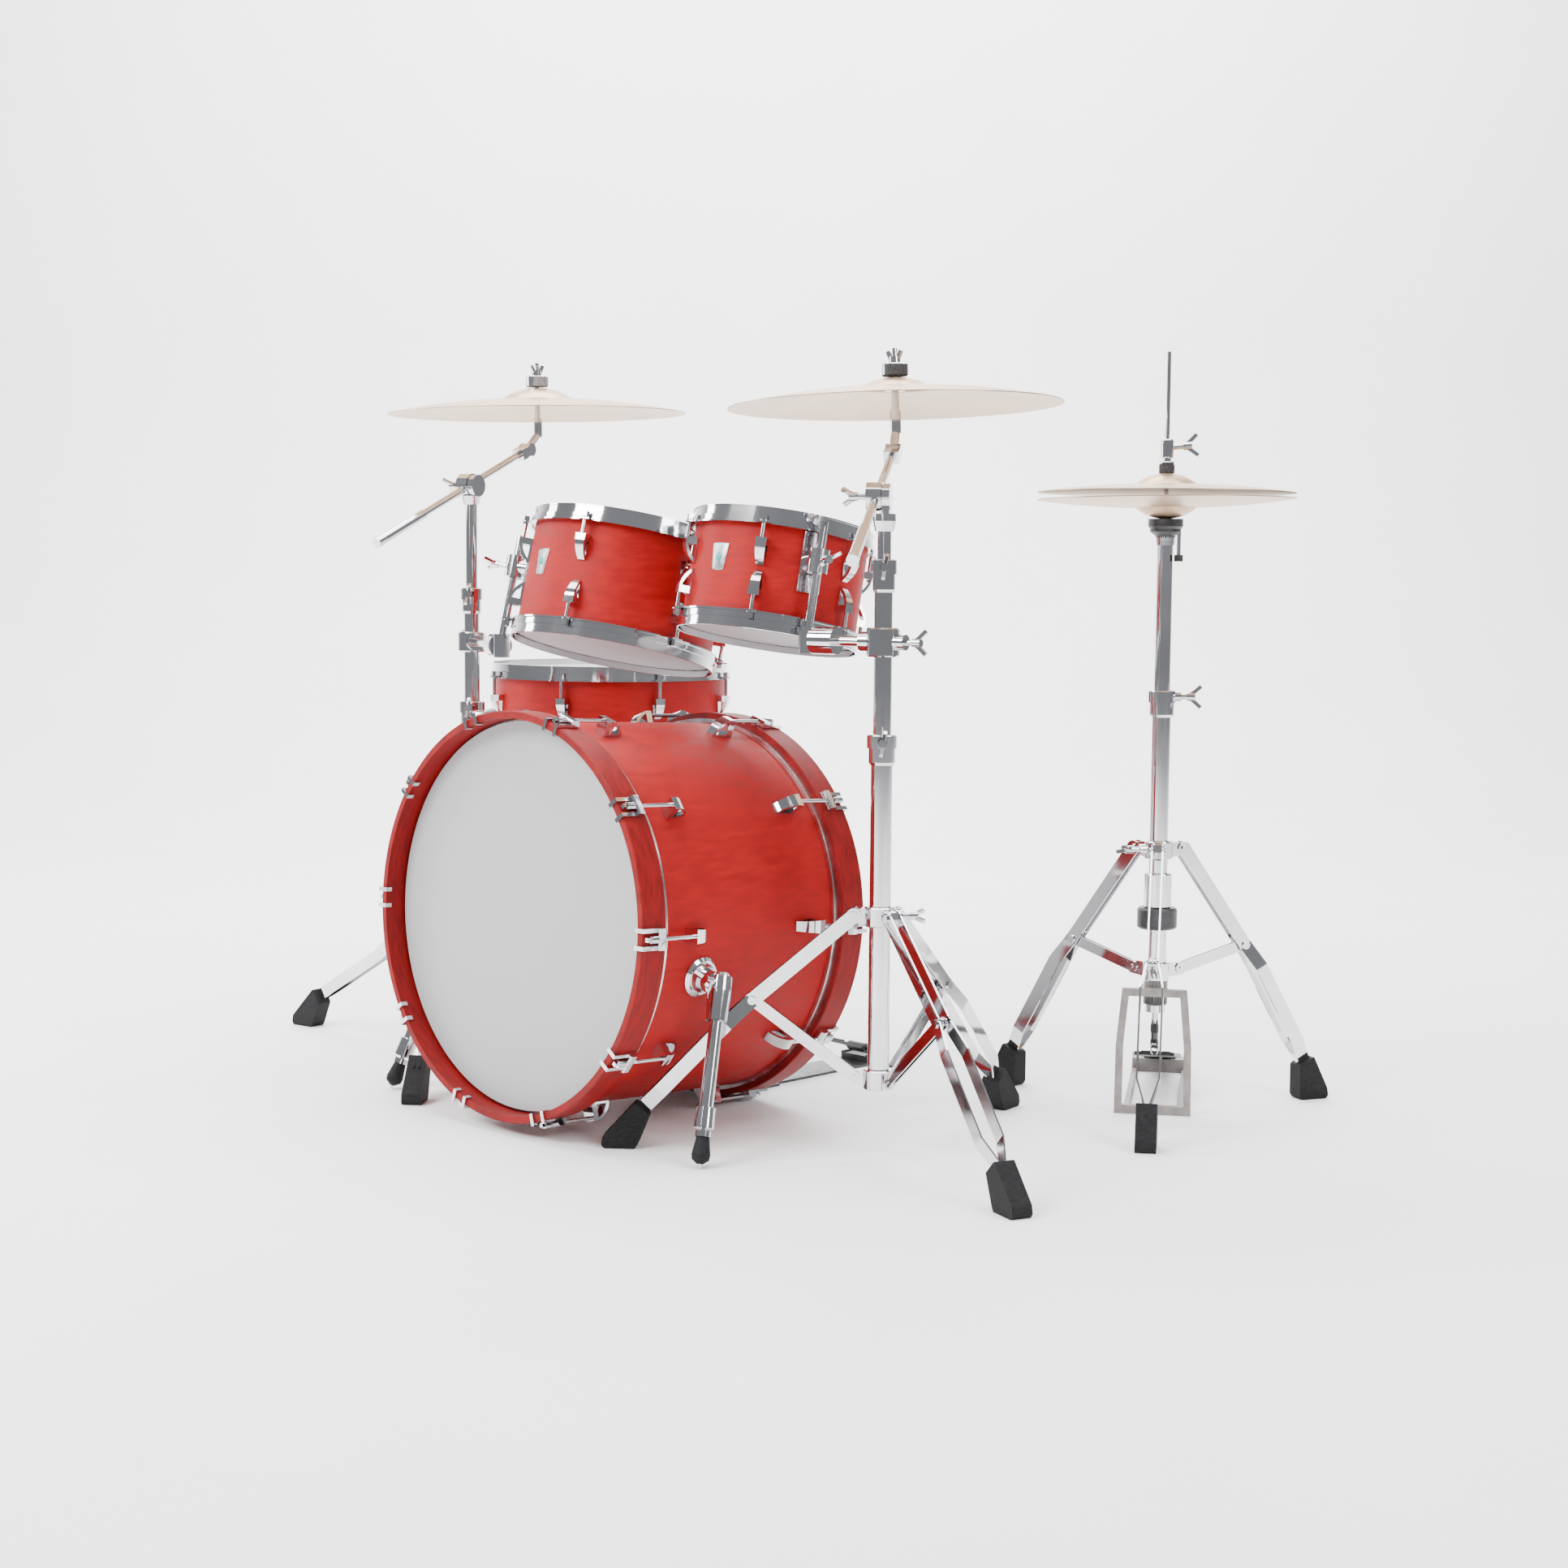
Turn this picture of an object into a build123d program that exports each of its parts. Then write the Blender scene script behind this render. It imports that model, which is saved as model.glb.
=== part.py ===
from build123d import *
from dataclasses import dataclass
from math import cos, radians, sin
import os

# An acoustic drum kit: bass drum, two toms hung from the cymbal stands, floor tom, two boom cymbal
# stands, hi-hat stand and kick pedal. Millimetres, +Z up, +Y from the front head to the drummer.

# Bass drum, 22 inch
BASS_RADIUS = 279.4
BASS_WALL = 7.5
BASS_LENGTH = 437.0  # from hoop face to hoop face
BASS_TILT = 2.4  # degrees, front end up
BASS_EDGE = 33.0  # from a hoop face to the shell's edge
BASS_LUGS = 10
BASS_LUG_START = 92.0
WOOD_HOOP_WIDTH = 43.5
WOOD_HOOP_OUTER = 295.0
WOOD_HOOP_INNER = 284.5
CLAW_ROD_RADIUS = 300.6  # from the drum's axis to the tension rods
SPUR_HEIGHT = 129.0  # from the front hoop face to the spur bracket
SPUR_ANGLE = 12.6  # degrees below the horizontal
SPUR_KNUCKLE = (306.0, 135.0, 239.0)
SPUR_FOOT = (351.0, 54.0, 0.0)

# Toms and floor tom
SHELL_WALL = 6.0
SHELL_EDGE = 11.0  # from a rim to the shell's edge
LUG_LENGTH = 37.0
LUG_RISE = 19.0
LUG_WIDTH = 17.0
ROD_OFFSET = 15.0  # from a shell to its tension rods
TENSION_ROD_RADIUS = 2.8
HOOP_FLANGE = 22.7  # from a rim to the hoop's lower flange
HOOP_HEIGHT = 25.0
MOUNT_REACH = 30.0  # from a tom's shell to the rod that carries it
MOUNT_ROD_RADIUS = 6.35
FLOOR_TOM_LEG_RADIUS = 4.75

# Cymbals: radius, bell radius, height of the bow, height of the bell
RIDE = (254.0, 62.0, 25.0, 19.5)
CRASH = (241.0, 54.0, 26.0, 15.0)
HAT = (190.5, 46.0, 13.0, 16.5)
CYMBAL_THICKNESS = 1.3
CYMBAL_HOLE = 6.2
HAT_GAP = 8.0
HAT_EDGE_HEIGHT = 929.0

# Stands
FIT = 0.08  # radial clearance of a tube in its sleeve
STRIP_WIDTH = 20.0
STRIP_THICKNESS = 2.5
STRIP_OFFSET = 8.0  # from a leg's middle plane to each of its two strips
STRUT_OFFSET = 3.15
STRUT_WIDTH = 16.0
BOOM_RADIUS = 6.35
CYMBAL_ROD_RADIUS = 4.0

# Kick pedal
PEDAL_HEEL = (745.0, 26.0)  # y and z of the heel hinge
PEDAL_TOE = (478.0, 104.0)
PEDAL_SHAFT = (470.0, 160.0)
BEATER_ARM = 158.0
BEATER_LEAN = 30.0  # degrees back from the upright

# Hi-hat stand
HAT_PEDAL_ANGLE = 124.1  # direction from the stand to the heel
HAT_ROD_RADIUS = 3.175
HAT_ROD_TOP = 1137.0

CENTRED = (Align.CENTER, Align.CENTER, Align.CENTER)
STANDING = (Align.CENTER, Align.CENTER, Align.MIN)
UP = Vector(0, 0, 1)


@dataclass
class Drum:
    """A drum by its plane: centre of the lower or front rim, z along its axis."""

    radius: float
    length: float
    lugs: int
    first_lug: float
    plane: Plane
    lug_start: float

    def ends(self):
        """The plane of each rim, z into the drum, with the sign of its angles."""
        far = Plane(
            origin=self.plane.origin + self.plane.z_dir * self.length,
            x_dir=self.plane.x_dir,
            z_dir=-self.plane.z_dir,
        )
        return ((self.plane, 1), (far, -1))

    def lug_angles(self, sign):
        return [sign * (self.first_lug + 360 / self.lugs * k) for k in range(self.lugs)]


@dataclass
class Stand:
    """A tripod: every pivot is (distance from the axis, height)."""

    x: float
    y: float
    legs: tuple
    crown: tuple
    joint: tuple
    knee: tuple
    foot: tuple
    tip: float
    lower: tuple
    tube: float
    splay: float

    def at(self, height):
        return Vector(self.x, self.y, height)

    def axis_plane(self, height=0.0):
        return Plane(origin=(self.x, self.y, height))

    def leg_plane(self, angle):
        """Local x is the distance from the axis and local y the height."""
        a = radians(angle)
        return Plane(origin=(self.x, self.y, 0), x_dir=(cos(a), sin(a), 0), z_dir=(sin(a), -cos(a), 0))


@dataclass
class Boom:
    """A boom arm through its tilter, with the cymbal that it carries."""

    pivot: tuple
    azimuth: float
    elevation: float
    front: float
    back: float
    cymbal: tuple
    reach: float
    height: float
    lean: float
    lean_azimuth: float

    def direction(self):
        a, e = radians(self.azimuth), radians(self.elevation)
        return Vector(cos(a) * cos(e), sin(a) * cos(e), sin(e))

    def hinge(self):
        a = radians(self.azimuth)
        return Vector(-sin(a), cos(a), 0)

    def end(self):
        return Vector(*self.pivot) + self.direction() * self.front

    def cymbal_plane(self):
        """Centre of the cymbal's rim, z along the rod that carries it."""
        lean, a = radians(self.lean), radians(self.lean_azimuth)
        normal = Vector(sin(lean) * cos(a), sin(lean) * sin(a), cos(lean))
        out, end = radians(self.azimuth), self.end()
        centre = Vector(end.X + self.reach * cos(out), end.Y + self.reach * sin(out), self.height)
        return Plane(origin=centre, z_dir=normal)


def upright_drum(centre, tilt):
    """The plane of a drum whose upper end leans towards the drummer."""
    t = radians(tilt)
    return Plane(origin=centre, x_dir=(1, 0, 0), z_dir=(0, sin(t), cos(t)))


def bass_plane():
    t = radians(BASS_TILT)
    height = WOOD_HOOP_OUTER * cos(t) + BASS_LENGTH * sin(t)
    return Plane(origin=(0, 0, height), x_dir=(1, 0, 0), z_dir=(0, cos(t), -sin(t)))


BASS = Drum(BASS_RADIUS, BASS_LENGTH, BASS_LUGS, 0.0, bass_plane(), BASS_LUG_START)
TOM_10 = Drum(127.0, 174.0, 6, 4.0, upright_drum((188, 337, 707), 11.5), 46.0)
TOM_12 = Drum(152.4, 200.0, 6, -8.0, upright_drum((-146, 329, 677), 14.0), 47.0)
FLOOR_TOM = Drum(203.2, 428.0, 8, -18.7, upright_drum((-555, 685, 217), 0.0), 54.0)

RIGHT = Stand(
    x=452.4, y=300.0, legs=(220.7, 340.7, 100.7), crown=(36, 334.5), joint=(176.5, 213.5),
    knee=(212, 180), foot=(330, 56), tip=387, lower=(34, 108), tube=15.0, splay=16.0,
)
LEFT = Stand(
    x=-500.3, y=332.5, legs=(309.2, 189.2, 69.2), crown=(36, 290.0), joint=(176.5, 175.0),
    knee=(214, 143), foot=(362, 56), tip=421, lower=(34, 108), tube=15.0, splay=9.5,
)
HIHAT = Stand(
    x=548.9, y=813.3, legs=(304.1, 64.1, 184.1), crown=(40, 397), joint=(148, 246),
    knee=(173, 212), foot=(258, 60), tip=297, lower=(41, 215), tube=14.0, splay=16.0,
)
RIGHT_BOOM = Boom(
    pivot=(444.2, 291.9, 911.2), azimuth=124.54, elevation=22.63, front=181.6, back=224.5,
    cymbal=CRASH, reach=13.1, height=1045.2, lean=2.0, lean_azimuth=187.0,
)
LEFT_BOOM = Boom(
    pivot=(-503.1, 329.8, 945.0), azimuth=104.52, elevation=22.45, front=174.0, back=251.3,
    cymbal=RIDE, reach=30.0, height=1072.6, lean=1.0, lean_azimuth=253.0,
)
RIGHT_LEVELS = {"sleeve": (544, 586), "second": (781, 826), "tilter": 864, "clamp": (690, 736)}
LEFT_LEVELS = {"sleeve": (548, 590), "second": (735, 777), "tilter": 914, "clamp": (669, 708)}
TOM_10_MOUNT = {"angle": -24.0, "height": 105.0, "rise": 57.0, "drop": 97.0}
TOM_12_MOUNT = {"angle": -148.0, "height": 115.0, "rise": 50.0, "drop": 112.0}


# Basic shapes


def fused(pieces):
    return Part() + list(pieces)


def group(pieces):
    """Separate solids that share one node."""
    return Compound([solid for piece in pieces for solid in piece.solids()])


def rod(start, end, radius, bore=0.0):
    """A round bar, or a tube, from one point to another."""
    start, end = Vector(start), Vector(end)
    axis = end - start
    solid = Cylinder(radius, axis.length, align=STANDING)
    if bore:
        solid -= Cylinder(bore, axis.length, align=STANDING)
    return Plane(origin=start, z_dir=axis) * solid


def turned(plane, outline):
    """A solid of revolution about the plane's z, from (radius, height) corners."""
    corners = [(radius, 0, height) for radius, height in outline]
    return plane * revolve(make_face(Polyline(*corners, close=True)), Axis.Z)


def ring(plane, inner, outer, low, high, chamfer=0.0):
    """A round collar with chamfered outer corners."""
    c = chamfer
    outline = [(inner, low), (outer - c, low), (outer, low + c)]
    outline += [(outer, high - c), (outer - c, high), (inner, high)]
    if not c:
        outline = [(inner, low), (outer, low), (outer, high), (inner, high)]
    return turned(plane, outline)


def block(plane, size, centre):
    return plane * Pos(*centre) * Box(*size, align=CENTRED)


def side_profile(points, width, offset=0.0):
    """A closed outline of (y, z) corners, as thick as width along local x."""
    face = make_face(Polyline(*[(offset, y, z) for y, z in points], close=True))
    return extrude(face, amount=width / 2, dir=(1, 0, 0), both=True)


def side_frame(plane, angle, radius, height=0.0):
    """A frame on a drum's side: x around it, y along its axis and z out of it."""
    a = radians(angle)
    out = plane.x_dir * cos(a) + plane.y_dir * sin(a)
    around = plane.y_dir * cos(a) - plane.x_dir * sin(a)
    origin = plane.origin + out * radius + plane.z_dir * height
    return Plane(origin=origin, x_dir=around, z_dir=out)


def flat_bar(start, end, width, thickness):
    """A flat strip between two points of a leg plane, its width in that plane."""
    start, end = Vector(start), Vector(end)
    run = end - start
    across = Vector(-run.Y, run.X, 0)
    frame = Plane(origin=start, x_dir=across, z_dir=run)
    return frame * Pos(0, 0, run.length / 2) * Box(width, thickness, run.length + 1.2, align=CENTRED)


def wing_screw(start, direction, reach, turn=0.0):
    """A screw with a two-eared head, its tip at the start point."""
    frame = Plane(origin=Vector(start), z_dir=direction).location * Rot(0, 0, turn)
    ears = [(-5, 0), (5, 0), (9, 6), (18, 16), (14, 20), (5, 10), (-5, 10), (-14, 20), (-18, 16), (-9, 6)]
    face = make_face(Polyline(*[(x, 0, z + reach) for x, z in ears], close=True))
    wing = extrude(face, amount=2.4, dir=(0, 1, 0), both=True)
    hub = Pos(0, 0, reach - 3) * Cylinder(6.0, 13, align=STANDING)
    shaft = Cylinder(4.0, reach, align=STANDING)
    return frame * fused([wing, hub, shaft])


# Drums


def shell(drum, edge, wall):
    r, bevel = drum.radius, 2.5
    end = drum.length - edge
    outline = [(r - wall, edge + wall - bevel), (r - bevel, edge), (r, edge + bevel)]
    outline += [(r, end - bevel), (r - bevel, end), (r - wall, end - wall + bevel)]
    return turned(drum.plane, outline)


def tom_head(drum, plane):
    """Film over the shell's edge, down to the metal hoop that stretches it."""
    r, e = drum.radius, SHELL_EDGE
    outline = [(0, e - 0.6), (r + 1.1, e - 0.6), (r + 1.1, 16), (r + 5.7, 16), (r + 5.7, 22)]
    outline += [(r + 0.5, 22), (r + 0.5, e), (0, e)]
    return turned(plane, outline)


def tom_hoop(drum, plane, sign):
    """A pressed steel hoop with three flanges and an ear for each rod."""
    r = drum.radius
    outline = [(r + 3.6, 0), (r + 6.8, 0), (r + 6.8, 2.2), (r + 5.9, 2.2), (r + 5.9, 13.5)]
    outline += [(r + 8.4, 13.5), (r + 8.4, HOOP_FLANGE), (r + 11.5, HOOP_FLANGE), (r + 11.5, HOOP_HEIGHT)]
    outline += [(r + 6.1, HOOP_HEIGHT), (r + 6.1, 15.8), (r + 3.6, 15.8)]
    thickness = HOOP_HEIGHT - HOOP_FLANGE
    middle = (HOOP_HEIGHT + HOOP_FLANGE) / 2
    pieces, holes = [turned(plane, outline)], []
    for angle in drum.lug_angles(sign):
        frame = side_frame(plane, angle, r)
        pieces.append(block(frame, (26, thickness, 7), (0, middle, 10)))
        pieces.append(block(frame, (18, thickness, 7), (0, middle, 16.5)))
        holes.append(rod(on(frame, 0, 15, ROD_OFFSET), on(frame, 0, 30, ROD_OFFSET), 3.2))
    return fused(pieces) - holes


def on(plane, x, y, z):
    """A point given in a plane's own coordinates."""
    return plane.from_local_coords(Vector(x, y, z))


def arch_lug(length, rise, width):
    """A cast arch over an open window; its rod end is at y = 0 and it runs to -y."""
    shoulder = -0.28 * length
    outer = Polyline((0, -length, 2.6), (0, -length, 0), (0, 0, 0), (0, 0, rise), (0, shoulder, rise))
    outer += ThreePointArc((0, shoulder, rise), (0, -0.76 * length, 0.62 * rise), (0, -length, 2.6))
    body = extrude(make_face(outer), amount=width / 2, dir=(1, 0, 0), both=True)
    low, high = 3.0, rise - 3.5
    window = Polyline((0, -0.84 * length, low), (0, shoulder, low), (0, shoulder, high))
    window += ThreePointArc((0, shoulder, high), (0, -0.64 * length, 0.6 * high), (0, -0.84 * length, low))
    body -= extrude(make_face(window), amount=width, dir=(1, 0, 0), both=True)
    for side in (-1, 1):
        wedge = Polyline((side * width / 2, 0, -1), (side * width, 0, -1), (side * width, -length - 1, -1),
                         (side * (width / 2 - 3), -length - 1, -1), close=True)
        body -= extrude(make_face(wedge), amount=rise + 5, dir=(0, 0, 1))
    return body


def tom_hardware(drum):
    """Lugs on the shell and the tension rods from them to the hoops."""
    pieces = []
    lug = arch_lug(LUG_LENGTH, LUG_RISE, LUG_WIDTH)
    for plane, sign in drum.ends():
        for angle in drum.lug_angles(sign):
            frame = side_frame(plane, angle, drum.radius + 0.02)
            pieces.append(frame * Pos(0, drum.lug_start, 0) * Rot(0, 0, 180) * lug)
            start = on(frame, 0, drum.lug_start, ROD_OFFSET)
            seat = on(frame, 0, HOOP_FLANGE, ROD_OFFSET)
            screw = rod(start, seat, TENSION_ROD_RADIUS)
            flange = rod(seat, on(frame, 0, HOOP_FLANGE - 1.6, ROD_OFFSET), 6.4)
            head = block(frame, (8, 8.4, 8), (0, HOOP_FLANGE - 5.6, ROD_OFFSET))
            pieces.append(fused([screw, flange, head]))
    return pieces


def bass_head(plane):
    r, e, w = BASS_RADIUS, BASS_EDGE, WOOD_HOOP_WIDTH
    outline = [(0, e - 0.6), (r + 0.9, e - 0.6), (r + 0.9, w), (r + 6.6, w), (r + 6.6, w + 10.5)]
    outline += [(r + 0.4, w + 10.5), (r + 0.4, e), (0, e)]
    return turned(plane, outline)


def bass_claw(plane, angle):
    """A two-pronged claw over the wooden hoop."""
    frame = side_frame(plane, angle, 0)
    inside, top = WOOD_HOOP_INNER - 0.6, WOOD_HOOP_OUTER + 0.3
    prong = [(-3, inside - 2.4), (8, inside - 2.4), (8, inside), (-0.2, inside), (-0.2, top)]
    prong += [(24, top), (24, top + 4), (-3, top + 4)]
    base = [(22, top), (37, top), (37, top + 7), (33, top + 10), (25, top + 10), (22, top + 8)]
    pieces = [side_profile(prong, 6, offset) for offset in (-12, 12)] + [side_profile(base, 30)]
    hole = rod((0, 0, CLAW_ROD_RADIUS), (0, 60, CLAW_ROD_RADIUS), 3.4)
    return frame.location * (fused(pieces) - hole)


def claw_rod(plane, angle):
    """The key rod from a claw to its lug."""
    frame = side_frame(plane, angle, CLAW_ROD_RADIUS)
    head = rod(on(frame, 0, 8, 0), on(frame, 0, 21.8, 0), 5.2)
    key = block(frame, (6, 6, 6), (0, 5.5, 0))
    screw = rod(on(frame, 0, 21.5, 0), on(frame, 0, BASS_LUG_START, 0), 3.0)
    return fused([head, key, screw])


def bass_drum():
    """Nodes of the bass drum without its spurs."""
    ends = BASS.ends()
    hoops = [ring(plane, WOOD_HOOP_INNER, WOOD_HOOP_OUTER, 0, WOOD_HOOP_WIDTH, 1.5) for plane, _ in ends]
    lug = arch_lug(36.0, 26.0, 20.0)
    lugs, claws = [], []
    for plane, sign in ends:
        for angle in BASS.lug_angles(sign):
            frame = side_frame(plane, angle, BASS_RADIUS + 0.02, 0)
            lugs.append(frame * Pos(0, BASS_LUG_START, 0) * Rot(0, 0, 180) * lug)
            claws.append(bass_claw(plane, angle))
            claws.append(claw_rod(plane, angle))
    for side in (1, -1):
        lugs.append(spur_bracket(side))
    return {
        "bass_drum_shell": shell(BASS, BASS_EDGE, BASS_WALL),
        "bass_drum_hoops": group(hoops),
        "bass_drum_heads": group([bass_head(plane) for plane, _ in ends]),
        "bass_drum_lugs": group(lugs),
        "bass_drum_claws": group(claws),
        "bass_drum_spur_left": spur(1),
        "bass_drum_spur_right": spur(-1),
    }


def spur_axis(side):
    """Frame of a spur bracket, z out of the shell."""
    angle = SPUR_ANGLE if side > 0 else 180 - SPUR_ANGLE
    return side_frame(BASS.plane, angle, BASS_RADIUS, SPUR_HEIGHT)


def spur_bracket(side):
    """A round base on the shell; its foot follows the curve of the shell."""
    frame = spur_axis(side)
    base = turned(frame, [(0, -3), (29, -3), (29, 3), (25, 7), (22, 7), (20, 15), (0, 15)])
    return base - BASS.plane * Cylinder(BASS_RADIUS + 0.05, BASS_LENGTH, align=STANDING)


def spur(side):
    """A folding leg: socket, tube, clamp and rubber tip with a spike."""
    axis = spur_axis(side).z_dir
    knuckle = Vector(side * SPUR_KNUCKLE[0], *SPUR_KNUCKLE[1:])
    foot = Vector(side * SPUR_FOOT[0], *SPUR_FOOT[1:])
    run = (foot - knuckle).normalized()
    length = (foot - knuckle).length
    frame = Plane(origin=knuckle, x_dir=axis.cross(run), z_dir=run)
    socket = turned(frame, [(0, -15), (12, -15), (16, -10), (17, 10), (15, 52), (0, 52)])
    pad = rod(spur_axis(side).origin + axis * 15.3, spur_axis(side).origin + axis * 30, 16)
    tube = rod(knuckle, knuckle + run * (length - 84), 9.5)
    clamp = turned(frame, [(0, length - 86), (13, length - 84), (14, length - 56), (0, length - 56)])
    neck = rod(knuckle + run * (length - 60), knuckle + run * (length - 40), 4.0)
    nut = turned(frame, [(0, length - 52), (11, length - 52), (11, length - 44), (0, length - 44)])
    screw = wing_screw(knuckle, frame.x_dir * side * -1, 24, 60)
    leg = fused([socket, pad, tube, clamp, neck, nut, screw])
    tip = turned(frame, [(0, length - 44), (9, length - 44), (13, length - 20), (12, length - 13),
                         (4, length - 7), (0, length - 7)])
    spike = turned(frame, [(0, length - 7), (3.5, length - 7), (0.6, length - 1.4), (0, length - 1.4)])
    return group([leg, tip, spike])


def kick_pedal():
    """Frame, footboard and beater of the bass drum pedal."""
    heel_y, heel_z = PEDAL_HEEL
    toe_y, toe_z = PEDAL_TOE
    shaft_y, shaft_z = PEDAL_SHAFT
    ground = Plane.XY
    plate = fused([
        block(ground, (72, 300, 4), (0, 618, 2)),
        block(ground, (92, 70, 4), (0, 480, 2)),
        block(ground, (60, 34, 15), (0, heel_y + 8, 9)),
    ])
    posts = [block(ground, (10, 26, shaft_z + 8), (side * 46, shaft_y, (shaft_z + 8) / 2)) for side in (-1, 1)]
    clamp = block(ground, (40, 26, 12), (0, 458, 10))
    frame = fused([plate, *posts, clamp, block(ground, (102, 22, 12), (0, shaft_y, 10))])
    frame -= rod((-60, shaft_y, shaft_z), (60, shaft_y, shaft_z), 6.0 + FIT)
    frame -= rod((-25, heel_y, heel_z), (25, heel_y, heel_z), 4.0 + FIT)
    frame -= block(ground, (50.6, 30, 30), (0, heel_y, heel_z + 3))
    board = footboard((heel_y, heel_z), (toe_y, toe_z), 46.0, 38.0)
    shaft = rod((-58, shaft_y, shaft_z), (58, shaft_y, shaft_z), 6.0)
    lean = radians(BEATER_LEAN)
    head = Vector(0, shaft_y + BEATER_ARM * sin(lean), shaft_z + BEATER_ARM * cos(lean))
    hub = rod((-10, shaft_y, shaft_z), (10, shaft_y, shaft_z), 17)
    arm = rod((0, shaft_y, shaft_z), head, 4.0)
    across = Vector(0, cos(lean), -sin(lean))
    beater = rod(head - across * 20, head + across * 20, 24)
    return {
        "kick_pedal_frame": frame,
        "kick_pedal_footboard": board,
        "kick_pedal_beater": fused([shaft, hub, arm, beater]),
    }


def footboard(heel, toe, width, heel_width):
    """A ribbed plate in the y-z plane from its heel pin to its toe."""
    run = Vector(0, toe[0] - heel[0], toe[1] - heel[1])
    frame = Plane(origin=(0, heel[0], heel[1]), x_dir=(1, 0, 0), z_dir=run)
    length = run.length
    corners = [(-heel_width / 2, 0, 12), (heel_width / 2, 0, 12), (width / 2 + 8, 0, length * 0.6)]
    corners += [(width / 2, 0, length), (-width / 2, 0, length), (-width / 2 - 8, 0, length * 0.6)]
    plate = extrude(make_face(Polyline(*corners, close=True)), amount=2.5, dir=(0, 1, 0), both=True)
    ribs = [Pos(0, 3.4, length * (0.2 + 0.08 * k)) * Box(width * 0.72, 2.4, 5, align=CENTRED) for k in range(9)]
    barrel = rod((-heel_width / 2, 0, 0), (heel_width / 2, 0, 0), 7.5)
    tongue = Pos(0, 0, 10) * Box(heel_width - 6, 5, 20, align=CENTRED)
    pin = rod((-24.9, 0, 0), (24.9, 0, 0), 4.0)
    return frame.location * fused([plate, *ribs, barrel, tongue, pin])


def drum_nodes(name, drum):
    """Shell, hoops, heads and hardware of a tom or the floor tom."""
    return {
        name + "_shell": shell(drum, SHELL_EDGE, SHELL_WALL),
        name + "_hoops": group([tom_hoop(drum, plane, sign) for plane, sign in drum.ends()]),
        name + "_heads": group([tom_head(drum, plane) for plane, _ in drum.ends()]),
    }


def mount_frame(drum, mount):
    return side_frame(drum.plane, mount["angle"], drum.radius, mount["height"])


def tom_bracket(drum, mount):
    """Plate on the shell with the clamp that grips the mounting rod."""
    frame = mount_frame(drum, mount)
    clear = drum.radius + 0.05
    plate = block(frame, (34, 86, 8), (0, 0, 3.0))
    neck = rod(on(frame, 0, 0, 3), on(frame, 0, 0, MOUNT_REACH), 13)
    housing = rod(on(frame, 0, -17, MOUNT_REACH), on(frame, 0, 17, MOUNT_REACH), 15)
    screw = wing_screw(on(frame, 0, 0, MOUNT_REACH + 8), frame.z_dir, 22, 30)
    bracket = fused([plate, neck, housing, screw])
    bracket -= rod(on(frame, 0, -60, MOUNT_REACH), on(frame, 0, 60, MOUNT_REACH), MOUNT_ROD_RADIUS + FIT)
    return bracket - drum.plane * Cylinder(clear, drum.length, align=STANDING)


def tom_mount(drum, mount, stand, clamp):
    """The bent rod that carries a tom and the clamp that holds it to a stand."""
    frame = mount_frame(drum, mount)
    top = on(frame, 0, mount["rise"], MOUNT_REACH)
    bottom = on(frame, 0, -mount["drop"], MOUNT_REACH)
    middle = (clamp[0] + clamp[1]) / 2
    corner = Vector(bottom.X, bottom.Y, middle)
    hub = stand.at(middle)
    out = (hub - corner).normalized()
    upright = rod(bottom, top, MOUNT_ROD_RADIUS)
    elbow = rod(corner + UP * -18, corner + UP * (bottom.Z - middle + 4), 13)
    barrel = rod(corner + out * 10, corner + out * 48, 19)
    arm = rod(corner + out * 40, hub - out * 14, 7)
    collar = ring(stand.axis_plane(), 0, 23, clamp[0] + 3, clamp[1] - 3, 2)
    jaw = rod(hub - out * 34, hub - out * 14, 14)
    tail = rod(hub + out * 18, hub + out * 36, 11)
    screw = wing_screw(hub + out * 34, out, 16, 90)
    arm_parts = fused([upright, elbow, barrel, arm, collar, jaw, tail, screw])
    return arm_parts - rod(stand.at(clamp[0] - 30), stand.at(clamp[1] + 30), 12.7 + FIT)


def floor_tom_feet():
    """Three straight legs beside the shell, each with a rubber foot."""
    legs, brackets = [], []
    for k in range(3):
        frame = side_frame(FLOOR_TOM.plane, -41.2 + 120 * k, FLOOR_TOM.radius)
        reach = 21.0
        base = -FLOOR_TOM.plane.origin.Z
        top = on(frame, 0, 285, reach)
        legs.append(rod(on(frame, 0, base + 14, reach), top, FLOOR_TOM_LEG_RADIUS))
        foot = Plane(origin=on(frame, 0, base, reach))
        shoe = turned(foot, [(0, 0), (15, 0), (16, 4), (11, 34), (0, 34)])
        legs.append(shoe - rod(on(frame, 0, base + 14, reach), top, FLOOR_TOM_LEG_RADIUS))
        plate = block(frame, (30, 60, 6), (0, 215, 2.5))
        grip = rod(on(frame, 0, 200, reach), on(frame, 0, 230, reach), 12)
        neck = block(frame, (16, 26, 20), (0, 215, 10))
        screw = wing_screw(on(frame, 0, 215, reach + 6), frame.z_dir, 20, 90)
        bracket = fused([plate, grip, neck, screw])
        bracket -= rod(on(frame, 0, 150, reach), on(frame, 0, 300, reach), FLOOR_TOM_LEG_RADIUS + FIT)
        brackets.append(bracket - FLOOR_TOM.plane * Cylinder(FLOOR_TOM.radius + 0.05, 420, align=STANDING))
    return legs, brackets


# Stands


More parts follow.
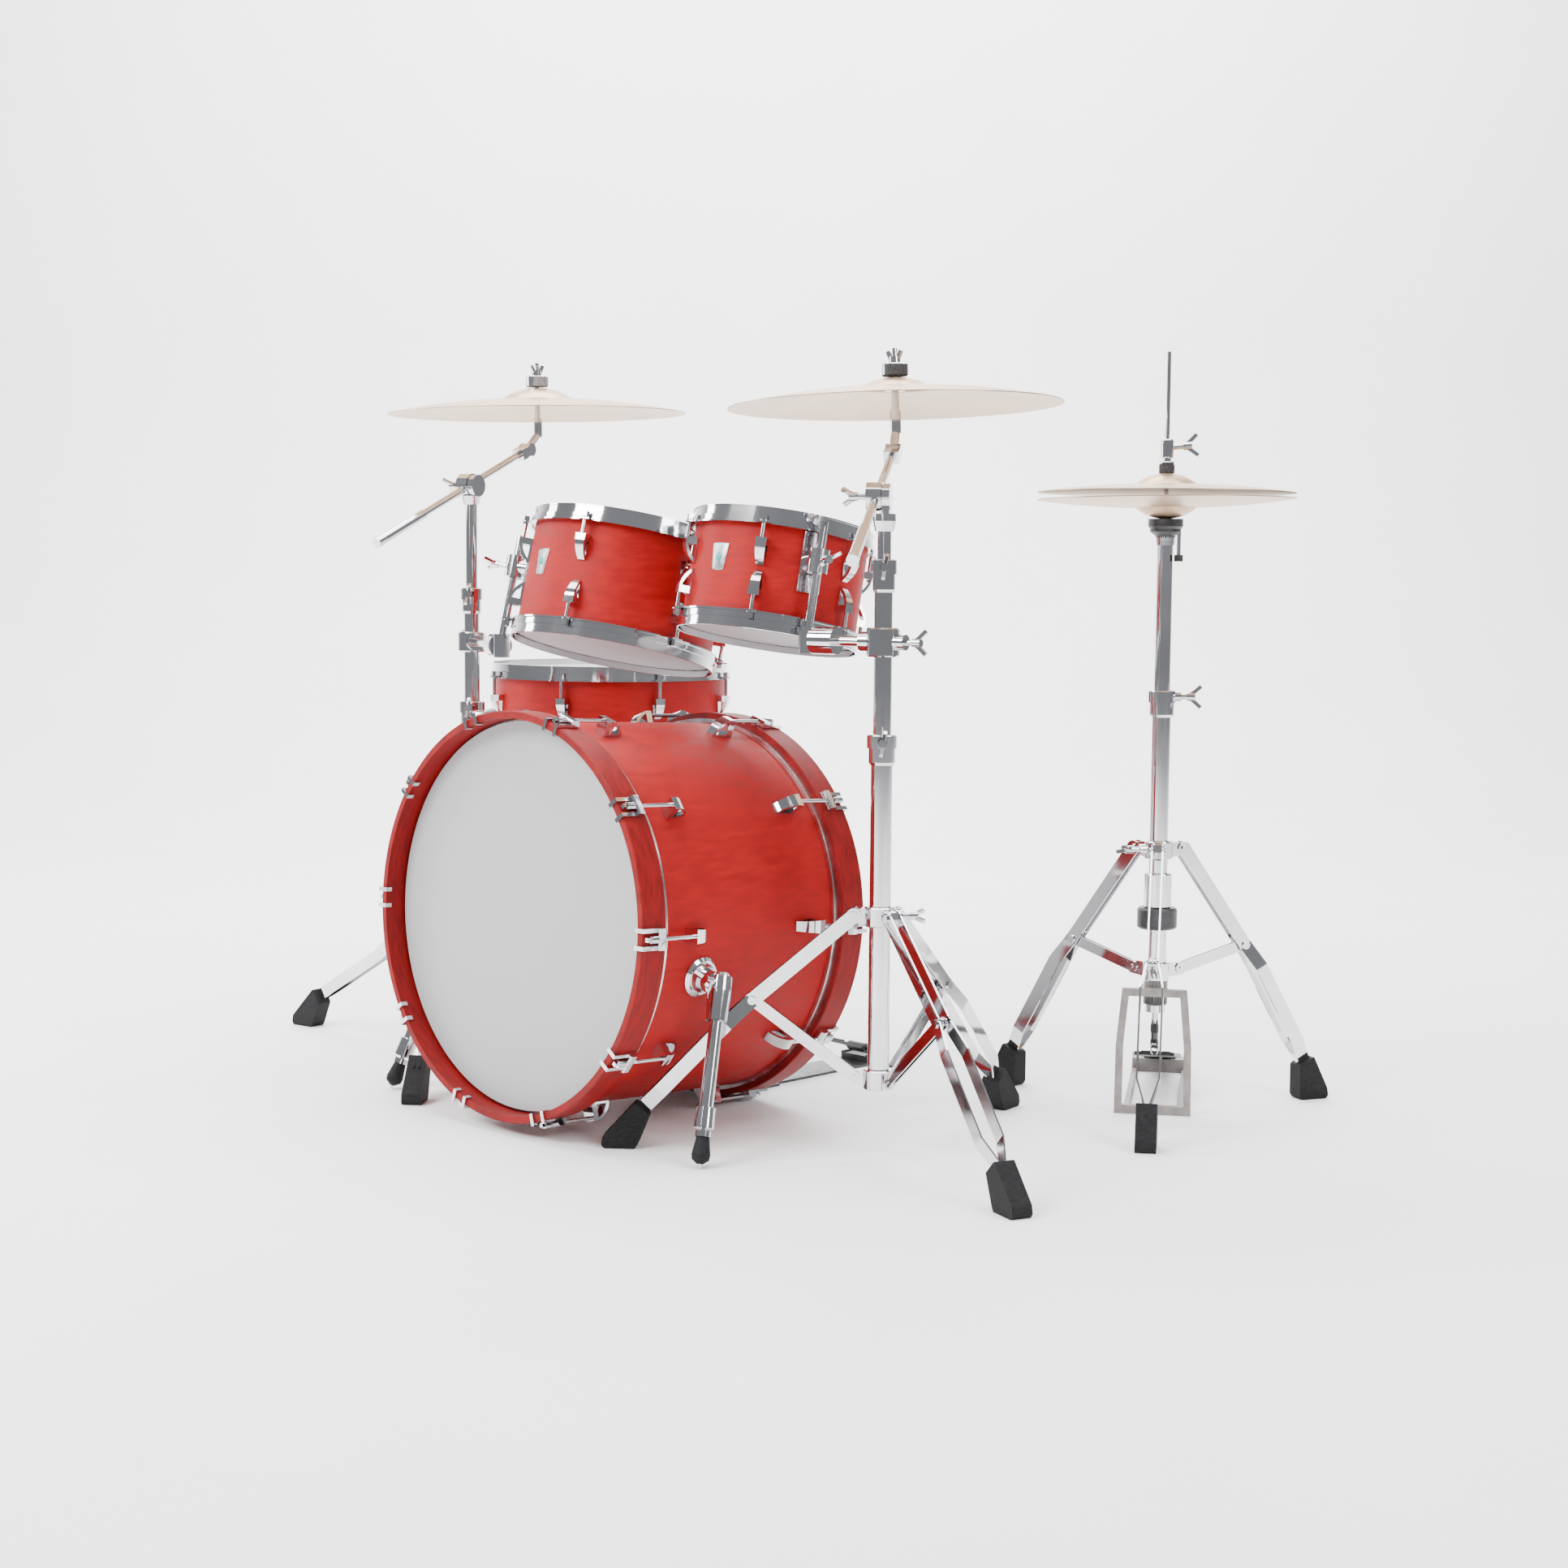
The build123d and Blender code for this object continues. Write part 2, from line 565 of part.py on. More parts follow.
def leg(stand, angle):
    """Two strips from the crown to a rubber boot, bowed apart below the strut."""
    plane = stand.leg_plane(angle)
    pieces = []
    for side in (-1, 1):
        t, splay = side * STRIP_OFFSET, side * stand.splay
        low = (stand.foot[0] * 0.78 + stand.knee[0] * 0.22, stand.foot[1] * 0.78 + stand.knee[1] * 0.22, splay)
        path = [(*stand.crown, t), (*stand.joint, t), (*stand.knee, splay), low, (*stand.foot, side * 4.2)]
        last = Vector(*stand.foot, side * 4.2) + (Vector(*stand.foot, 0) - Vector(*stand.knee, 0)).normalized() * 24
        path.append((last.X, last.Y, side * 4.2))
        for start, end in zip(path, path[1:]):
            pieces.append(flat_bar(start, end, STRIP_WIDTH, STRIP_THICKNESS))
        for pivot in (stand.crown, stand.joint):
            pieces.append(rod((*pivot, t - STRIP_THICKNESS / 2), (*pivot, t + STRIP_THICKNESS / 2), 10.6))
            pieces.append(rod((*pivot, side * 9), (*pivot, side * 12), 6))
    pieces.append(rod((*stand.crown, -9), (*stand.crown, 9), 4.0))
    body = fused(pieces)
    return plane.location * body, plane.location * (boot(stand) - body)


def boot(stand):
    """A rubber foot with its flat face on the floor."""
    run = (Vector(*stand.foot, 0) - Vector(*stand.knee, 0)).normalized()
    across = Vector(-run.Y, run.X, 0) * 14
    mouth = Vector(*stand.foot, 0)
    tip = stand.tip
    corners = [mouth + across, Vector(tip - 2, 17, 0), Vector(tip, 5, 0), Vector(tip - 4, 0, 0)]
    corners += [Vector(tip - 47, 0, 0), Vector(tip - 51, 6, 0), mouth - across]
    body = extrude(make_face(Polyline(*corners, close=True)), amount=15, both=True)
    return chamfer(body.edges().filter_by(Axis.Z), 1.2)


def strut(stand, angle):
    """Two thin strips between the lower collar and a leg, with their pins."""
    plane = stand.leg_plane(angle)
    pieces = []
    for side in (-1, 1):
        t = side * STRUT_OFFSET
        pieces.append(flat_bar((*stand.lower, t), (*stand.joint, t), STRUT_WIDTH, STRIP_THICKNESS))
        for pivot in (stand.lower, stand.joint):
            pieces.append(rod((*pivot, t - STRIP_THICKNESS / 2), (*pivot, t + STRIP_THICKNESS / 2), 8.6))
    pieces.append(rod((*stand.lower, -6.4), (*stand.lower, 6.4), 3.0))
    pieces.append(rod((*stand.joint, -6.3), (*stand.joint, 6.3), 4.0))
    return plane.location * fused(pieces)


def crown(stand, screw_angle):
    """The sliding collar that the legs hinge on."""
    reach, height = stand.crown
    bore = rod(stand.at(height - 40), stand.at(height + 40), stand.tube + FIT)
    pieces = [ring(stand.axis_plane(), 0, stand.tube + 7, height - 15, height + 13, 2)]
    holes = [bore]
    for angle in stand.legs:
        plane = stand.leg_plane(angle)
        cheek = Polyline((10, height - 13, 0), (reach + 5, height - 9, 0), (reach + 10, height, 0),
                         (reach + 5, height + 9, 0), (10, height + 11, 0), close=True)
        pieces.append(plane.location * extrude(make_face(cheek), amount=6.4, both=True))
        holes.append(rod(on(plane, reach, height, -9), on(plane, reach, height, 9), 4.0 + FIT))
    a = radians(screw_angle)
    out = Vector(cos(a), sin(a), 0)
    pieces.append(rod(stand.at(height), stand.at(height) + out * (stand.tube + 16), 8))
    pieces.append(wing_screw(stand.at(height) + out * (stand.tube + 14), out, 14, 20))
    return fused(pieces) - holes


def lower_collar(stand):
    """The fixed collar at the bottom of the tube that the struts hinge on."""
    reach, height = stand.lower
    pieces = [ring(stand.axis_plane(), 0, stand.tube + 6, height - 17, height + 11, 1.5)]
    holes = []
    for angle in stand.legs:
        plane = stand.leg_plane(angle)
        cheek = Polyline((8, height - 15, 0), (reach + 5, height - 10, 0), (reach + 9, height, 0),
                         (reach + 4, height + 9, 0), (8, height + 9, 0), close=True)
        pieces.append(plane.location * extrude(make_face(cheek), amount=1.6, both=True))
        holes.append(rod(on(plane, reach, height, -9), on(plane, reach, height, 9), 3.0 + FIT))
    return fused(pieces), holes


def sleeve(stand, low, high, inner, outer, screw_angle):
    """A tube clamp: straight sleeve, wider collar and wing screw."""
    step = low + 0.55 * (high - low)
    outline = [(inner, low), (outer - 3, low), (outer - 1.5, low + 4), (outer - 1.5, step), (outer + 1, step)]
    outline += [(outer + 1, high - 1.5), (outer - 0.5, high), (inner, high)]
    collar = turned(stand.axis_plane(), outline)
    a = radians(screw_angle)
    out = Vector(cos(a), sin(a), 0)
    middle = stand.at((step + high) / 2)
    boss = rod(middle + out * (inner + 1.5), middle + out * (outer + 9), 7)
    screw = wing_screw(middle + out * (outer + 7), out, 13, 80)
    return [collar, boss, screw]


def base_tube(stand, levels, bottom, low_collar, holes):
    """The lowest tube of a cymbal stand with its collars."""
    low, high = levels["sleeve"]
    tube = rod(stand.at(bottom), stand.at(high - 12), stand.tube, 13.4)
    parts = [tube, low_collar, *sleeve(stand, low, high, 12.7 + FIT, 20.0, 314)]
    body = fused(parts) - holes
    return body - rod(stand.at(low - 2), stand.at(high + 2), 12.7 + FIT)


def middle_tube(stand, levels):
    low, high = levels["second"]
    tube = rod(stand.at(400), stand.at(high - 12), 12.7, 10.2)
    body = fused([tube, *sleeve(stand, low, high, 9.5 + FIT, 17.0, 314)])
    return body - rod(stand.at(low - 2), stand.at(high + 2), 9.5 + FIT)


def upper_tube(stand, levels, boom):
    """The thin tube with the fork that carries the boom's tilter."""
    base = levels["tilter"]
    pivot, hinge = Vector(*boom.pivot), boom.hinge()
    tube = rod(stand.at(600), stand.at(base + 4), 9.5, 7.5)
    socket = turned(stand.axis_plane(base), [(0, 0), (13, 0), (16, 14), (16, 24), (0, 24)])
    cheek = rod(pivot - hinge * 20, pivot - hinge * 9.2, 18)
    neck_low = stand.at(base + 20)
    neck_high = pivot - hinge * 14
    neck = Plane(origin=neck_low, x_dir=hinge, z_dir=UP) * Box(13, 26, neck_high.Z - neck_low.Z - 4, align=STANDING)
    shift = (neck_high - neck_low).dot(hinge)
    neck = Pos(*(hinge * (shift * 0.5))) * neck
    swept = rod(pivot - hinge * 8.9, pivot + hinge * 30, 21.5)
    return fused([tube, socket, cheek, neck]) - swept


def boom_arm(boom):
    """The arm with the barrel that grips it and the screw that locks both."""
    pivot, hinge, along = Vector(*boom.pivot), boom.hinge(), boom.direction()
    barrel = rod(pivot - hinge * 8.6, pivot + hinge * 13, 20)
    arm = rod(pivot - along * boom.back, boom.end() - along * 15, BOOM_RADIUS)
    grip = rod(pivot - along * boom.back, pivot - along * (boom.back * 0.52), 7.8)
    cap = rod(pivot - along * (boom.back + 5), pivot - along * (boom.back - 4), 8.6)
    yoke = block(Plane(origin=boom.end(), x_dir=hinge, z_dir=along), (22, 18, 14), (0, 0, -21))
    cheeks = [rod(boom.end() + hinge * s * 7.2, boom.end() + hinge * s * 11, 11) for s in (-1, 1)]
    webs = [block(Plane(origin=boom.end(), x_dir=hinge, z_dir=along), (3.8, 16, 22), (s * 9.1, 0, -10)) for s in (-1, 1)]
    screw = wing_screw(pivot + hinge * 12, hinge, 16, 40)
    return fused([barrel, arm, grip, cap, yoke, *cheeks, *webs, screw])


def cymbal_tilter(boom):
    """Knuckle, rod, felts and wing nut that hold a boom's cymbal."""
    plane = boom.cymbal_plane()
    end, hinge = boom.end(), boom.hinge()
    radius, bell_radius, bow, bell = boom.cymbal
    top = bow + bell
    knuckle = rod(end - hinge * 6.9, end + hinge * 6.9, 10.5)
    foot = on(plane, 0, 0, -34)
    neck = rod(end, foot, 6.6)
    pillar = rod(on(plane, 0, 0, -38), on(plane, 0, 0, -6), 8)
    seat = rod(on(plane, 0, 0, -8), on(plane, 0, 0, top - 14), 5.4)
    cup = rod(on(plane, 0, 0, top - 19), on(plane, 0, 0, top - 16), 15)
    screw = rod(on(plane, 0, 0, -8), on(plane, 0, 0, top + 42), CYMBAL_ROD_RADIUS)
    body = fused([knuckle, neck, pillar, seat, cup, screw])
    low_felt = ring(plane, CYMBAL_ROD_RADIUS, 14.5, top - 16, top - 5.2)
    high_felt = ring(plane, CYMBAL_ROD_RADIUS, 19, top + 2.2, top + 20, 1.5)
    nut = wing_nut(plane, top + 20)
    return group([body, low_felt - body, high_felt - body, nut - body])


def wing_nut(plane, height):
    ears = [(-8, 0), (8, 0), (9, 6), (15, 17), (11, 19), (5, 10), (-5, 10), (-11, 19), (-15, 17), (-9, 6)]
    face = make_face(Polyline(*[(x, 0, z + height) for x, z in ears], close=True))
    wing = extrude(face, amount=2.4, dir=(0, 1, 0), both=True)
    hub = Pos(0, 0, height) * Cylinder(7.5, 10, align=STANDING)
    return plane * fused([wing, hub])


def cymbal(plane, size, hole=CYMBAL_HOLE):
    """A spun plate: bow from the rim to the bell, and the bell above it."""
    radius, bell_radius, bow, bell = size
    t = CYMBAL_THICKNESS
    middle = (radius + bell_radius) / 2
    lines = []
    for lift in (0.0, t):
        rim, root = (radius, 0, lift), (bell_radius, 0, bow - t + lift)
        lines.append(ThreePointArc(rim, (middle, 0, 0.63 * bow + lift), root))
        shoulder = (0.55 * bell_radius, 0, bow - t + 0.76 * bell + lift)
        lines.append(ThreePointArc(root, shoulder, (hole, 0, bow - t + bell + lift)))
    lines.append(Line((radius, 0, 0), (radius, 0, t)))
    lines.append(Line((hole, 0, bow - t + bell), (hole, 0, bow + bell)))
    return plane * revolve(make_face(lines), Axis.Z)


def cymbal_stand(name, stand, levels, boom, screw_angle):
    """Tubes, boom and cymbal, which both cymbal stands share."""
    collar, holes = lower_collar(stand)
    return {
        name + "_base_tube": base_tube(stand, levels, 92, collar, holes),
        name + "_crown": crown(stand, screw_angle),
        name + "_middle_tube": middle_tube(stand, levels),
        name + "_upper_tube": upper_tube(stand, levels, boom),
        name + "_boom": boom_arm(boom),
        name + "_cymbal_tilter": cymbal_tilter(boom),
    }


def tripod(name, stand):
    """A node for each leg with its boot, and for each strut."""
    nodes = {}
    for k, angle in enumerate(stand.legs, 1):
        nodes[f"{name}_leg_{k}"] = group(leg(stand, angle))
        nodes[f"{name}_strut_{k}"] = strut(stand, angle)
    return nodes


def fixed_tripod(name, stand):
    """All legs and struts of a stand whose legs stay spread."""
    pieces = [piece for angle in stand.legs for piece in leg(stand, angle)]
    pieces += [strut(stand, angle) for angle in stand.legs]
    return {name + "_legs": group(pieces)}


# Hi-hat stand


def hihat_base():
    """Tube, collar, spring housing and barrel above the pedal."""
    collar, holes = lower_collar(HIHAT)
    axis = HIHAT.axis_plane()
    tube = rod(HIHAT.at(300), HIHAT.at(600), HIHAT.tube, 12.4)
    lock = sleeve(HIHAT, 596, 636, 12.0 + FIT, 20.0, 30)
    housing = ring(axis, 6, 21, 309, 361, 2)
    knob = ring(axis, 6, 30, 277, 309, 3)
    stem = ring(axis, 6, 15, 150, 280)
    barrel = ring(axis, 6, 18, 161, 204, 2)
    body = fused([tube, *lock, housing, knob, stem, barrel, collar]) - holes
    return body - rod(HIHAT.at(140), HIHAT.at(300), 6.0) - rod(HIHAT.at(364), HIHAT.at(640), 12.0 + FIT)


def hihat_upper_tube():
    """Upper tube with the seat and tilting cup of the lower cymbal."""
    axis = HIHAT.axis_plane()
    tube = rod(HIHAT.at(420), HIHAT.at(868), 12.0, 9.5)
    cup = turned(axis, [(4, 852), (14, 852), (15, 866), (23, 872), (23, 876), (26, 880), (26, 891), (4, 891)])
    screw = rod(HIHAT.at(850) + Vector(19, 8, -14), HIHAT.at(850) + Vector(19, 8, 26), 3.0)
    head = rod(HIHAT.at(850) + Vector(19, 8, -22), HIHAT.at(850) + Vector(19, 8, -12), 6.5)
    return fused([tube, cup, screw, head])


def hihat_rod():
    """Pull rod with the clutch: felts, sleeve, wing screw."""
    axis = HIHAT.axis_plane()
    top = HAT_EDGE_HEIGHT + HAT[2] + HAT[3]
    body = rod(HIHAT.at(440), HIHAT.at(HAT_ROD_TOP), HAT_ROD_RADIUS)
    stem = ring(axis, 0, 5.8, top - 14, top + 30)
    low_nut = ring(axis, 0, 11, top - 12, top - 8)
    block_ring = ring(axis, 0, 9.5, top + 22, top + 50, 1.5)
    flange = ring(axis, 0, 11, top + 13, top + 17, 1)
    screw = wing_screw(HIHAT.at(top + 38) + Vector(7, 5, 0), Vector(0.82, 0.57, 0.1), 18, 80)
    clutch = fused([body, stem, low_nut, block_ring, flange, screw])
    felt = ring(axis, 5.8, 11.5, top + 0.2, top + 12.8)
    under_felt = ring(axis, 5.8, 10, top - 7.8, top - 2.6)
    return group([clutch, felt - clutch, under_felt - clutch])


def hihat_plane():
    """Local y points towards the heel and z is up."""
    a = radians(HAT_PEDAL_ANGLE)
    return Plane(origin=(HIHAT.x, HIHAT.y, 0), x_dir=(sin(a), -cos(a), 0), z_dir=(0, 0, 1))


def hihat_frame():
    """Upright ring, ground plate and heel hinge that hold the pedal."""
    ground = hihat_plane()
    outline = Polyline((-48, 0, 190), (48, 0, 190), (56, 0, 105), (57, 0, 0), (-57, 0, 0), (-56, 0, 105), close=True)
    window = Polyline((-38, 0, 179), (38, 0, 179), (45, 0, 105), (46, 0, 13), (-46, 0, 13), (-45, 0, 105), close=True)
    plate = extrude(make_face(outline), amount=6, dir=(0, 1, 0), both=True)
    plate -= extrude(make_face(window), amount=10, dir=(0, 1, 0), both=True)
    upright = Pos(0, -36, 0) * plate
    bridge = Pos(0, -24, 0) * Box(26, 24, 10, align=CENTRED)
    ring_plate = [
        Pos(-40, 130, 3) * Box(8, 330, 6, align=CENTRED),
        Pos(40, 130, 3) * Box(8, 330, 6, align=CENTRED),
        Pos(0, 292, 11) * Box(88, 30, 22, align=CENTRED),
    ]
    body = fused([upright, Pos(0, 0, 184) * bridge, *ring_plate])
    body -= Pos(0, 292, 24) * Box(50.6, 24, 28, align=CENTRED)
    body -= rod((-27, 292, 24), (27, 292, 24), 4.0 + FIT)
    body = ground.location * body
    return body - rod(HIHAT.at(140), HIHAT.at(300), 18 + FIT)


def hihat_footboard():
    ground = hihat_plane()
    board = footboard((292.0, 24.0), (16.0, 82.0), 60.0, 38.0)
    return ground.location * board


def hihat_chain():
    """Chain from the pedal's toe to the clip on the pull rod."""
    links = []
    for k in range(4):
        height = 100 + 12 * k
        size = (12, 4, 13) if k % 2 == 0 else (4, 12, 13)
        links.append(block(HIHAT.axis_plane(), size, (0, 0, height)))
    clip = rod(HIHAT.at(140), HIHAT.at(158), 4.5)
    pull = rod(HIHAT.at(156), HIHAT.at(270), HAT_ROD_RADIUS)
    return fused([*links, clip, pull])


def hihat_nodes():
    top_plane = HIHAT.axis_plane(HAT_EDGE_HEIGHT)
    bottom_plane = Plane(
        origin=(HIHAT.x, HIHAT.y, HAT_EDGE_HEIGHT - HAT_GAP), x_dir=(1, 0, 0), z_dir=hihat_lower_normal()
    )
    nodes = {
        "hihat_base_tube": hihat_base(),
        "hihat_crown": crown(HIHAT, 234),
        "hihat_upper_tube": hihat_upper_tube(),
        "hihat_pull_rod": hihat_rod(),
        "hihat_top_cymbal": cymbal(top_plane, HAT),
        "hihat_bottom_cymbal": cymbal(bottom_plane, HAT, 7.5),
        "hihat_frame": hihat_frame(),
        "hihat_footboard": hihat_footboard(),
        "hihat_chain": hihat_chain(),
    }
    nodes.update(tripod("hihat", HIHAT))
    return nodes


def hihat_lower_normal():
    """The lower cymbal faces down and leans a little on its tilting cup."""
    lean, a = radians(0.6), radians(44.7)
    return Vector(sin(lean) * cos(a), sin(lean) * sin(a), -cos(lean))


def build():
    """Every node of the kit."""
    nodes = bass_drum()
    nodes.update(kick_pedal())
    for name, drum, mount, stand, levels in (
        ("tom_10", TOM_10, TOM_10_MOUNT, RIGHT, RIGHT_LEVELS),
        ("tom_12", TOM_12, TOM_12_MOUNT, LEFT, LEFT_LEVELS),
    ):
        nodes.update(drum_nodes(name, drum))
        nodes[name + "_hardware"] = group([*tom_hardware(drum), tom_bracket(drum, mount)])
        nodes[name + "_mount"] = tom_mount(drum, mount, stand, levels["clamp"])
    legs, brackets = floor_tom_feet()
    nodes.update(drum_nodes("floor_tom", FLOOR_TOM))
    nodes["floor_tom_hardware"] = group([*tom_hardware(FLOOR_TOM), *brackets])
    nodes["floor_tom_legs"] = group(legs)
    nodes.update(cymbal_stand("right_stand", RIGHT, RIGHT_LEVELS, RIGHT_BOOM, 44.7))
    nodes["crash_cymbal"] = cymbal(RIGHT_BOOM.cymbal_plane(), CRASH)
    nodes.update(tripod("right_stand", RIGHT))
    nodes.update(cymbal_stand("left_stand", LEFT, LEFT_LEVELS, LEFT_BOOM, 10))
    nodes["left_stand_base_tube"] = group([nodes["left_stand_base_tube"], nodes.pop("left_stand_crown")])
    nodes["ride_cymbal"] = cymbal(LEFT_BOOM.cymbal_plane(), RIDE)
    nodes.update(fixed_tripod("left_stand", LEFT))
    nodes.update(hihat_nodes())
    return nodes


def kit_shift(nodes):
    """The move that brings the origin under the middle of the kit."""
    box = Compound([solid for node in nodes.values() for solid in node.solids()]).bounding_box()
    return Vector(-(box.min.X + box.max.X) / 2, -(box.min.Y + box.max.Y) / 2, -box.min.Z)


def main():
    nodes = build()
    shift = kit_shift(nodes)
    print("nodes", len(nodes), "shift", shift)
    os.makedirs("parts", exist_ok=True)
    for name, shape in nodes.items():
        export_step(Pos(*shift) * shape, f"parts/{name}.step")


if __name__ == "__main__":
    main()
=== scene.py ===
import math

import bpy
from mathutils import Matrix, Vector


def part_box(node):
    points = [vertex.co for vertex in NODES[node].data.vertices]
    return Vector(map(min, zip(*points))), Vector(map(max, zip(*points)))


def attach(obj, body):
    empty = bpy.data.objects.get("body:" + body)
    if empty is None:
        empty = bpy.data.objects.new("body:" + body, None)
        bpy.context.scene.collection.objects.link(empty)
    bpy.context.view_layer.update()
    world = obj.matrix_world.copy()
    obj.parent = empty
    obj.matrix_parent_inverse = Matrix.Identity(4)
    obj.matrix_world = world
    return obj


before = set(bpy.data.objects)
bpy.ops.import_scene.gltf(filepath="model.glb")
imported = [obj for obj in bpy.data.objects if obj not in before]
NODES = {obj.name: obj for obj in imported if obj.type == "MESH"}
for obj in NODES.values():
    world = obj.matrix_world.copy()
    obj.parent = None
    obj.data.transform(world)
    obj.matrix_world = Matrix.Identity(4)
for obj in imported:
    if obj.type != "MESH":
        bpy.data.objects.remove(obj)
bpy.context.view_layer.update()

KIT_ORIGIN = Vector((0.0478327, -0.5385356, 0.0))  # in the frame, in metres
BASS_RADIUS, BASS_LENGTH, BASS_TILT, BASS_HOOP_OUTER = 279.4, 437.0, 2.4, 295.0
HAT_CENTRE, HAT_TOP = (548.9, 813.3), 958.5
HAT_PEDAL_ANGLE = 124.1
HEADING = Vector((-0.70390, 0.71029, 0))
STANDS = {
    "right_stand": {"at": (452.4, 300.0), "knee": (212, 180), "foot": (330, 56)},
    "left_stand": {"at": (-500.3, 332.5), "knee": (214, 143), "foot": (362, 56)},
    "hihat": {"at": HAT_CENTRE, "knee": (173, 212), "foot": (258, 60)},
}
SPUR_KNUCKLE, SPUR_FOOT = (306.0, 135.0, 239.0), (351.0, 54.0, 0.0)
TOMS = {
    "tom_10": {"centre": (188, 337, 707), "radius": 127.0, "length": 174.0, "tilt": 11.5},
    "tom_12": {"centre": (-146, 329, 677), "radius": 152.4, "length": 200.0, "tilt": 14.0},
    "floor_tom": {"centre": (-555, 685, 217), "radius": 203.2, "length": 428.0, "tilt": 0.0},
}


def kit(x, y, z):
    """A kit point in millimetres, in the frame's metres."""
    return Vector((x, y, z)) / 1000 + KIT_ORIGIN


def to_kit(point):
    return (point - KIT_ORIGIN) * 1000


# Materials


def value_nodes(name):
    material = bpy.data.materials.new(name)
    material.use_nodes = True
    nodes = material.node_tree.nodes
    return material, nodes, material.node_tree.links, nodes["Principled BSDF"]


def coordinates(nodes, links, stretch=(1, 1, 1)):
    """Object coordinates scaled by stretch."""
    source = nodes.new("ShaderNodeTexCoord")
    mapping = nodes.new("ShaderNodeMapping")
    mapping.inputs["Scale"].default_value = stretch
    links.new(source.outputs["Object"], mapping.inputs["Vector"])
    return mapping.outputs["Vector"]


def noise(nodes, links, vector, scale, detail=4.0):
    texture = nodes.new("ShaderNodeTexNoise")
    texture.inputs["Scale"].default_value = scale
    texture.inputs["Detail"].default_value = detail
    links.new(vector, texture.inputs["Vector"])
    return texture.outputs["Fac"]


def ramp(nodes, links, factor, dark, light, low=0.35, high=0.65):
    stops = nodes.new("ShaderNodeValToRGB")
    stops.color_ramp.elements[0].position = low
    stops.color_ramp.elements[1].position = high
    stops.color_ramp.elements[0].color = (*dark, 1)
    stops.color_ramp.elements[1].color = (*light, 1)
    links.new(factor, stops.inputs["Fac"])
    return stops.outputs["Color"]


def spread(nodes, links, factor, low, high):
    """A factor mapped from 0.3..0.7 to low..high."""
    mapped = nodes.new("ShaderNodeMapRange")
    for socket, number in (("From Min", 0.3), ("From Max", 0.7), ("To Min", low), ("To Max", high)):
        mapped.inputs[socket].default_value = number
    links.new(factor, mapped.inputs["Value"])
    return mapped.outputs["Result"]


def bump(nodes, links, height, shader, strength, distance):
    node = nodes.new("ShaderNodeBump")
    node.inputs["Strength"].default_value = strength
    node.inputs["Distance"].default_value = distance
    links.new(height, node.inputs["Height"])
    links.new(node.outputs["Normal"], shader.inputs["Normal"])


def surface(name, dark, light, rough, metallic=0.0, scale=60.0, relief=0.0, stretch=(1, 1, 1),
            gloss=0.5):
    """A finish that varies between two tones and two roughnesses."""
    material, nodes, links, shader = value_nodes(name)
    vector = coordinates(nodes, links, stretch)
    grain = noise(nodes, links, vector, scale)
    links.new(ramp(nodes, links, grain, dark, light), shader.inputs["Base Color"])
    links.new(spread(nodes, links, grain, *rough), shader.inputs["Roughness"])
    shader.inputs["Metallic"].default_value = metallic
    shader.inputs["Specular IOR Level"].default_value = gloss
    if relief:
        bump(nodes, links, grain, shader, 0.5, relief)
    return material


def arithmetic(nodes, links, operation, first, second):
    """A math node on one output and either another output or a number."""
    node = nodes.new("ShaderNodeMath")
    node.operation = operation
    links.new(first, node.inputs[0])
    if isinstance(second, float):
        node.inputs[1].default_value = second
    else:
        links.new(second, node.inputs[1])
    return node.outputs["Value"]


def bronze(name, centre):
    """Lathed bronze: fine grooves around the cymbal's own centre."""
    material, nodes, links, shader = value_nodes(name)
    source = nodes.new("ShaderNodeTexCoord")
    offset = nodes.new("ShaderNodeVectorMath")
    offset.operation = "SUBTRACT"
    offset.inputs[1].default_value = centre
    links.new(source.outputs["Object"], offset.inputs[0])
    flat = nodes.new("ShaderNodeVectorMath")
    flat.operation = "MULTIPLY"
    flat.inputs[1].default_value = (1, 1, 0)
    links.new(offset.outputs["Vector"], flat.inputs[0])
    length = nodes.new("ShaderNodeVectorMath")
    length.operation = "LENGTH"
    links.new(flat.outputs["Vector"], length.inputs[0])
    joined = nodes.new("ShaderNodeCombineXYZ")
    links.new(length.outputs["Value"], joined.inputs["X"])
    grooves = noise(nodes, links, joined.outputs["Vector"], 420.0, 3.0)
    clouds = noise(nodes, links, offset.outputs["Vector"], 7.0, 5.0)
    fine = arithmetic(nodes, links, "MULTIPLY", grooves, 0.45)
    broad = arithmetic(nodes, links, "MULTIPLY", clouds, 0.55)
    tone = arithmetic(nodes, links, "ADD", fine, broad)
    colour = ramp(nodes, links, tone, (0.40, 0.26, 0.16), (0.68, 0.50, 0.34))
    links.new(colour, shader.inputs["Base Color"])
    links.new(spread(nodes, links, tone, 0.30, 0.42), shader.inputs["Roughness"])
    shader.inputs["Metallic"].default_value = 0.75
    bump(nodes, links, grooves, shader, 0.25, 0.0004)
    return material


